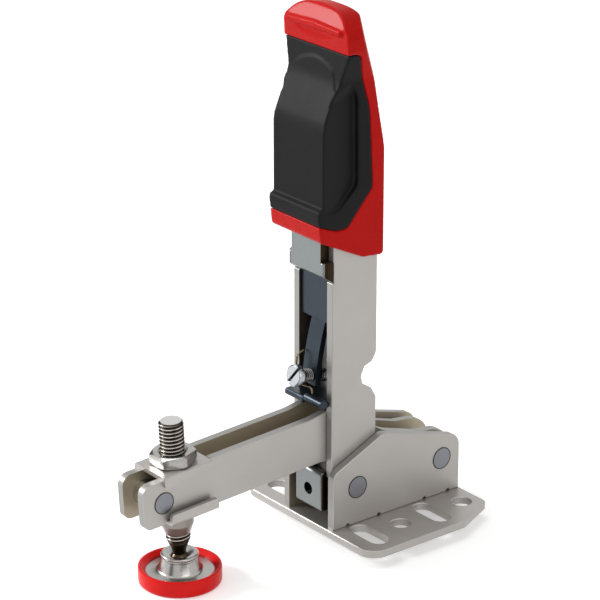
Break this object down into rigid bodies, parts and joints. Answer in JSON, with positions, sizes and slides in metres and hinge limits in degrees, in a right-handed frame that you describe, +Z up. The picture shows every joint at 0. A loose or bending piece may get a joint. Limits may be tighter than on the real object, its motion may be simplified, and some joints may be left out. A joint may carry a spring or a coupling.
{
  "type": "toggle clamp",
  "caption": "Vertical-handle toggle clamp with a flanged base, a plated clamping arm with an adjustable spindle and swivel pad, and a red two-colour grip.",
  "frame": {"origin": "centre of the base plate's underside", "axes": "+X forward along the arm to the pad, +Z up along the closed handle, +Y to the left side"},
  "size_m": [0.1257, 0.0676, 0.1805],
  "materials": {
    "plate_steel": "brushed bright plated steel",
    "bright_steel": "bright plated steel",
    "dark_steel": "blue-black oxide",
    "spring_bronze": "bronze wire",
    "grip_red": "glossy red",
    "grip_black": "soft matte black",
    "pad_red": "satin red"
  },
  "bodies": {
    "base": {"base_plate": "plate_steel", "side_plate_left": "plate_steel", "side_plate_right": "plate_steel", "front_bracket": "plate_steel", "link_rivet": "bright_steel", "arm_rivet": "bright_steel", "arm_spacers": "bright_steel"},
    "arm": {"arm_plate_left": "plate_steel", "arm_plate_right": "plate_steel", "arm_sleeve": "bright_steel", "arm_front_spacer": "bright_steel", "arm_front_rivet": "bright_steel", "handle_stub_left": "bright_steel", "handle_stub_right": "bright_steel", "upper_saddle": "plate_steel", "lower_saddle": "plate_steel"},
    "upper_nut": {"upper_nut": "bright_steel"},
    "lower_nut": {"lower_nut": "bright_steel"},
    "spindle": {"spindle": "bright_steel"},
    "foot": {"swivel_foot": "bright_steel"},
    "pad": {"pad_cap": "pad_red"},
    "link": {"link_bar": "plate_steel", "link_pin": "bright_steel"},
    "handle": {"handle_plate_left": "plate_steel", "handle_plate_right": "plate_steel", "front_bridge": "plate_steel", "slide_block": "dark_steel", "adjuster_lever": "dark_steel", "lock_spring": "spring_bronze", "grip_shell": "grip_red", "grip_inlay": "grip_black"},
    "force_screw": {"force_screw": "bright_steel"},
    "lock_plate": {"lock_plate": "dark_steel"}
  },
  "joints": [
    {"name": "arm_pivot", "type": "hinge", "parent": "base", "child": "arm", "pos_m": [-0.0198, 0, 0.0154], "axis": [0, -1, 0], "range_deg": [0, 18]},
    {"name": "handle_pivot", "type": "hinge", "parent": "arm", "child": "handle", "pos_m": [0.0156, 0, 0.024], "axis": [0, -1, 0], "range_deg": [0, 77]},
    {"name": "link_pivot", "type": "hinge", "parent": "base", "child": "link", "pos_m": [0.0165, 0, 0.0154], "axis": [0, -1, 0], "range_deg": [0, 74]},
    {"name": "spindle_height", "type": "slide", "parent": "arm", "child": "spindle", "axis": [0.0523, 0, 0.9986], "range_m": [-0.009, 0.006]},
    {"name": "upper_nut_turn", "type": "hinge", "parent": "arm", "child": "upper_nut", "pos_m": [0.08085, 0, 0.04047], "axis": [0.0523, 0, 0.9986], "continuous": true},
    {"name": "lower_nut_turn", "type": "hinge", "parent": "arm", "child": "lower_nut", "pos_m": [0.0797, 0, 0.0186], "axis": [0.0523, 0, 0.9986], "continuous": true},
    {"name": "pad_tilt", "type": "hinge", "parent": "spindle", "child": "foot", "pos_m": [0.07893, 0, 0.00382], "axis": [0, 1, 0], "range_deg": [-12, 12]},
    {"name": "pad_swivel", "type": "hinge", "parent": "foot", "child": "pad", "pos_m": [0.07893, 0, -0.0005], "axis": [0, 0, 1], "continuous": true},
    {"name": "force_screw_turn", "type": "hinge", "parent": "handle", "child": "force_screw", "pos_m": [0.0331, 0, 0.05485], "axis": [0.9763, 0, 0.2164], "continuous": true},
    {"name": "lock_plate_tilt", "type": "hinge", "parent": "handle", "child": "lock_plate", "pos_m": [0.0205, 0, 0.0453], "axis": [0, 1, 0], "range_deg": [0, 6], "stiffness_Nm_per_rad": 0.05}
  ],
  "couplings": [
    {"joint": "arm_pivot", "follows": "handle_pivot", "ratio": 0.23377},
    {"joint": "link_pivot", "follows": "handle_pivot", "ratio": 0.96104}
  ]
}
